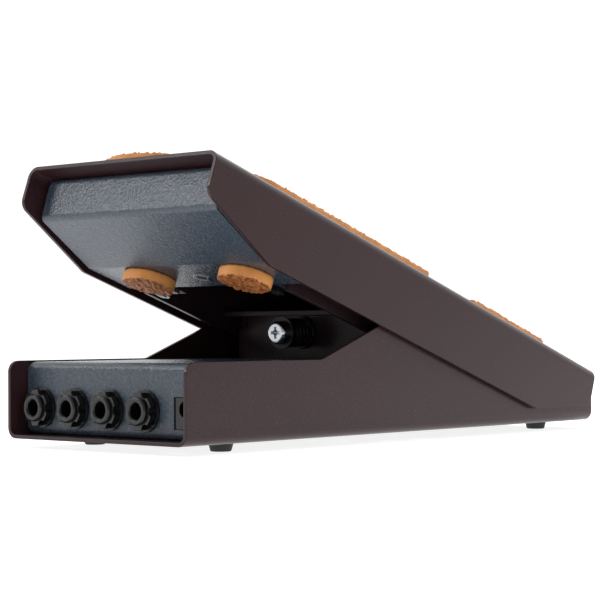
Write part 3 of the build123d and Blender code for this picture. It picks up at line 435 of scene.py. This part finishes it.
class PEDAL_OT_connectors(bpy.types.Operator):
    """Gives the jacks and the power socket their mouldings and contacts"""

    bl_idname = "pedal.connectors"
    bl_label = "Connectors"

    def execute(self, context):
        black = context.scene.pedal_colours.black
        # Glass-filled nylon, moulded: near black with a satin skin.
        nylon = grained("nylon_moulded", black, 0.6, 0.03, Roughness=0.27)
        # Machined-look nylon of the nuts: slightly glossier, sharp edges broken by the mould.
        nut = grained("nylon_moulded_gloss", black, 0.5, 0.02, bevel_mm=0.35, Roughness=0.24)
        tin = turned_metal("brass_tin_plated", linear("#c9c8c0"), 0.3, "Y", 0.3)
        coat_nodes(nylon, *[f"jack_{n}" for n in (1, 2, 3, 4)], "dc_socket", "jack_washers")
        coat_nodes(nut, "jack_nuts")
        coat_nodes(tin, "dc_pin", "jack_pins")
        return {"FINISHED"}


class PEDAL_OT_adjuster(bpy.types.Operator):
    """Plates the friction screw and blackens its spring and washers"""

    bl_idname = "pedal.adjuster"
    bl_label = "Friction Adjuster"

    def execute(self, context):
        zinc = turned_metal("steel_zinc_plated_turned", context.scene.pedal_colours.zinc, 0.4, "Y", 0.2)
        # Spring steel with a black oxide skin: dark with a dull metallic glint.
        oxide = grained("steel_black_oxide", linear("#1b1b1d"), 0.4, 0.02, Metallic=0.6, Roughness=0.34)
        coat_nodes(zinc, "friction_screw", "thread_insert")
        coat_nodes(oxide, "friction_spring", "spring_washer", "spring_seat", "axle_clips")
        return {"FINISHED"}


class PEDAL_OT_hinge(bpy.types.Operator):
    """Finishes the axle, its bushes and the brake shoe"""

    bl_idname = "pedal.hinge"
    bl_label = "Hinge"

    def execute(self, context):
        ground = turned_metal("steel_ground", linear("#b4b4b2"), 0.25, "X", 0.22)
        # Oil-filled sintered bronze: dull, with visible pores.
        bronze = grained("bronze_sintered", linear("#a87c45"), 0.3, 0.04, 0.25, Metallic=0.9, Roughness=0.5)
        acetal = grained("acetal_machined", linear("#e4e2da"), 0.8, 0.02, 0.04, Roughness=0.38)
        coat_nodes(ground, "axle")
        coat_nodes(bronze, "axle_bushes")
        coat_nodes(acetal, "brake_shoe")
        return {"FINISHED"}


class PEDAL_OT_fasteners(bpy.types.Operator):
    """Plates the screws, nuts, rivets, standoffs and the magnet with its cup"""

    bl_idname = "pedal.fasteners"
    bl_label = "Fasteners"

    def execute(self, context):
        # Bright zinc plating on rolled steel.
        zinc = grained(
            "steel_zinc_plated", context.scene.pedal_colours.zinc, 0.7, 0.01, 0.06,
            Metallic=1.0, Roughness=0.25,
        )
        coat_nodes(
            zinc, "board_screws", "board_standoffs", "cover_screws", "cover_nuts", "carrier_screws",
            "carrier_nuts", "heel_plate_screws", "heel_plate_nuts", "rail_screws", "rail_nuts",
            "pan_rivets", "magnet_cup",
        )
        # Black-passivated zinc: a dark skin that still glints.
        passivated = grained(
            "steel_zinc_black", linear("#3a4146"), 0.7, 0.01, 0.1, Metallic=1.0, Roughness=0.3
        )
        coat_nodes(passivated, "pan_screws", "pan_nuts")
        # Sintered ferrite: near black, ground flat.
        ferrite = grained("ferrite_ground", linear("#26262a"), 0.6, 0.01, 0.05, Metallic=0.3, Roughness=0.3)
        coat_nodes(ferrite, "position_magnet")
        return {"FINISHED"}


class PEDAL_OT_electronics(bpy.types.Operator):
    """Finishes the circuit board and what is soldered to it"""

    bl_idname = "pedal.electronics"
    bl_label = "Electronics"

    def execute(self, context):
        # Green solder mask over woven glass laminate: glossy, with the weave faintly showing.
        board = grained("laminate_solder_mask", linear("#14532e"), 0.8, 0.03, 0.12, Roughness=0.28)
        epoxy = grained("epoxy_moulded", linear("#1d1d1f"), 0.3, 0.03, 0.2, Roughness=0.55)
        sleeve = grained("pvc_shrink_sleeve", linear("#20345e"), 1.5, 0.01, 0.05, Roughness=0.25)
        coat_nodes(board, "circuit_board")
        coat_nodes(epoxy, "hall_sensor", "signal_chips")
        coat_nodes(sleeve, "capacitors")
        return {"FINISHED"}


class PEDAL_OT_feet(bpy.types.Operator):
    """Finishes the four feet as matt black rubber"""

    bl_idname = "pedal.feet"
    bl_label = "Feet"

    def execute(self, context):
        # Moulded black rubber: matt, dusty at the edges.
        rubber = grained("rubber_moulded_black", linear("#202124"), 0.7, 0.05, 0.25, Roughness=0.62)
        coat_nodes(rubber, "feet")
        return {"FINISHED"}


class PEDAL_OT_pads(bpy.types.Operator):
    """Cuts the sole and heel pads and the stops from crepe rubber"""

    bl_idname = "pedal.pads"
    bl_label = "Rubber Pads"

    def execute(self, context):
        scene = context.scene
        rubber = crepe_rubber(scene.pedal_texture, scene.pedal_colours)
        pads = (
            ("sole_pad_crepe", "sole_pad", 1), ("heel_pad_crepe", "heel_pad", 1),
            ("toe_stops_crepe", "toe_stops", -1), ("heel_stops_crepe", "heel_stops", -1),
        )
        for seed, (name, node, free_sign) in enumerate(pads, 1):
            piece = crumple(name, node, "treadle", free_sign, scene.pedal_texture, rubber, seed)
        return {"FINISHED"}


class PEDAL_OT_stage(bpy.types.Operator):
    """Sets up the pale floor, the studio light and the camera"""

    bl_idname = "pedal.stage"
    bl_label = "Stage"

    TABLE_RADIUS = 40.0          # metres, past the camera's horizon
    TABLE_GAP = 0.2 * MM         # under the feet
    TABLE_GLOW = 0.85            # of the lit table, against a white backdrop's 1
    ROOM = 0.42                  # light from the camera's side
    BACKDROP = 1.15              # light from behind the pedal
    BACKDROP_RISE = 0.35         # upward lean of the way to the backdrop's middle
    ROOM_END, BACKDROP_START = -0.3, 0.6    # along that way, on a unit sky

    def execute(self, context):
        scene = context.scene
        scene.view_settings.view_transform = "Standard"
        self.floor(scene)
        self.lights(scene)
        self.camera(scene, scene.pedal_camera)
        return {"FINISHED"}

    def floor(self, scene):
        """Round light table, level with the feet."""
        mesh = bpy.data.meshes.new("studio_floor")
        shape = bmesh.new()
        bmesh.ops.create_circle(shape, cap_ends=True, radius=self.TABLE_RADIUS, segments=96)
        shape.to_mesh(mesh)
        shape.free()
        floor = bpy.data.objects.new("studio_floor", mesh)
        floor.location.z = LOW.z - self.TABLE_GAP
        scene.collection.objects.link(floor)
        # Opal acrylic, lit from below: matt white with a faint mottle and hardly any shadow.
        material, tree, shader, place = new_material("acrylic_opal_backlit", Roughness=0.7)
        mottle = add_node(tree, "TexNoise", {"Scale": per_metre(400.0 * MM)}, {"Vector": place})
        tone = ramp(tree, mottle.outputs["Fac"], [(0.3, linear("#b4b4b4")), (0.7, linear("#bcbcbc"))])
        tree.links.new(tone, shader.inputs["Base Color"])
        shader.inputs["Specular IOR Level"].default_value = 0.0
        shader.inputs["Emission Color"].default_value = (1, 1, 1, 1)
        shader.inputs["Emission Strength"].default_value = self.TABLE_GLOW
        mesh.materials.append(material)

    def lights(self, scene):
        """A white backdrop behind the pedal, a dimmer room in front of it and three softboxes."""
        world = bpy.data.worlds.new("studio")
        world.use_nodes = True
        tree = world.node_tree
        sky = tree.nodes["Background"]
        sky.inputs["Color"].default_value = (1, 1, 1, 1)
        turn = scene.pedal_camera.azimuth
        behind = (-math.sin(turn), math.cos(turn), self.BACKDROP_RISE)
        compass = add_node(tree, "TexCoord").outputs["Generated"]
        facing = add_node(tree, "VectorMath", {1: behind}, {0: compass}, operation="DOT_PRODUCT")
        level = add_node(
            tree, "MapRange",
            {
                "From Min": self.ROOM_END, "From Max": self.BACKDROP_START,
                "To Min": self.ROOM, "To Max": self.BACKDROP,
            },
            {"Value": facing.outputs["Value"]}, interpolation_type="SMOOTHSTEP",
        )
        tree.links.new(level.outputs[0], sky.inputs["Strength"])
        scene.world = world
        # Each box's name, place and side in metres, and power in watts.
        boxes = (
            ("toe_softbox", (-0.9, -1.0, 0.7), 0.3, 4.0),
            ("side_softbox", (1.5, -0.3, 0.5), 0.25, 1.5),
            ("top_softbox", (-0.3, 0.9, 1.3), 0.6, 16.0),
        )
        for name, place, size, power in boxes:
            lamp = bpy.data.lights.new(name, "AREA")
            lamp.shape = "SQUARE"
            lamp.size = size
            lamp.energy = power
            holder = bpy.data.objects.new(name, lamp)
            holder.location = place
            holder.rotation_euler = (MIDDLE - Vector(place)).to_track_quat("-Z", "Y").to_euler()
            scene.collection.objects.link(holder)

    def camera(self, scene, view):
        """Camera level with the pedal, at its toe and to its right."""
        turn, tilt, roll = view.azimuth, view.elevation, view.roll
        back = Vector((
            math.sin(turn) * math.cos(tilt), -math.cos(turn) * math.cos(tilt), math.sin(tilt)
        ))
        right = Vector((math.cos(turn), math.sin(turn), 0))
        up = back.cross(right)
        across = right * math.cos(roll) + up * math.sin(roll)
        above = up * math.cos(roll) - right * math.sin(roll)
        place = MIDDLE + Vector(view.aim) + back * view.distance
        lens = bpy.data.cameras.new("studio_camera")
        lens.lens = view.lens
        lens.sensor_width = 36.0
        camera = bpy.data.objects.new("studio_camera", lens)
        camera.matrix_world = Matrix.Translation(place) @ Matrix((across, above, back)).transposed().to_4x4()
        scene.collection.objects.link(camera)
        scene.camera = camera


class PEDAL_PT_panel(bpy.types.Panel):
    """Lists the pedal's steps in the sidebar"""

    bl_idname = "PEDAL_PT_panel"
    bl_label = "Volume Pedal"
    bl_space_type = "VIEW_3D"
    bl_region_type = "UI"
    bl_category = "Pedal"

    def draw(self, context):
        for operator in OPERATORS:
            self.layout.operator(operator.bl_idname)
        for group in (context.scene.pedal_colours, context.scene.pedal_texture, context.scene.pedal_camera):
            for name in group.__annotations__:
                self.layout.prop(group, name)


GROUPS = (PedalColours, PedalTexture, PedalCamera)
OPERATORS = (
    PEDAL_OT_stage, PEDAL_OT_folded_steel, PEDAL_OT_inner_panels, PEDAL_OT_connectors, PEDAL_OT_adjuster,
    PEDAL_OT_hinge, PEDAL_OT_fasteners, PEDAL_OT_electronics, PEDAL_OT_feet, PEDAL_OT_pads,
)


def register():
    for kind in (*GROUPS, *OPERATORS, PEDAL_PT_panel):
        bpy.utils.register_class(kind)
    bpy.types.Scene.pedal_colours = PointerProperty(type=PedalColours)
    bpy.types.Scene.pedal_texture = PointerProperty(type=PedalTexture)
    bpy.types.Scene.pedal_camera = PointerProperty(type=PedalCamera)


def unregister():
    del bpy.types.Scene.pedal_camera
    del bpy.types.Scene.pedal_texture
    del bpy.types.Scene.pedal_colours
    for kind in (PEDAL_PT_panel, *reversed(OPERATORS), *reversed(GROUPS)):
        bpy.utils.unregister_class(kind)


def main():
    register()
    for operator in OPERATORS:
        group, name = operator.bl_idname.split(".")
        getattr(getattr(bpy.ops, group), name)()


if __name__ == "__main__":
    main()
